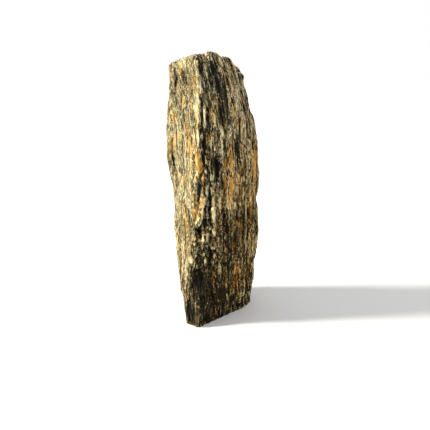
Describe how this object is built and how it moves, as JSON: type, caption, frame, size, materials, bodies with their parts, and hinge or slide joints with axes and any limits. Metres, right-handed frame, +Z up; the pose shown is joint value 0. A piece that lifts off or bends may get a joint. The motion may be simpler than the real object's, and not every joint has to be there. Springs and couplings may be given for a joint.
{
  "type": "gneiss fountain stone",
  "caption": "Upright split column of banded gneiss with a drilled water channel from its sawn base to its broken top, for a garden fountain.",
  "frame": {"origin": "on the sawn base plane, under the middle of the stone's bounding box", "axes": "+Z up along the column, from the sawn base to the broken top; +Y to the back; +X to the right, so the sharp front arris is at -X -Y"},
  "size_m": [0.1928, 0.179, 0.5227],
  "materials": {
    "gneiss": "rough split, dry, banded grey, cream and rust"
  },
  "bodies": {
    "root": {"gneiss_stone": "gneiss"}
  },
  "joints": []
}
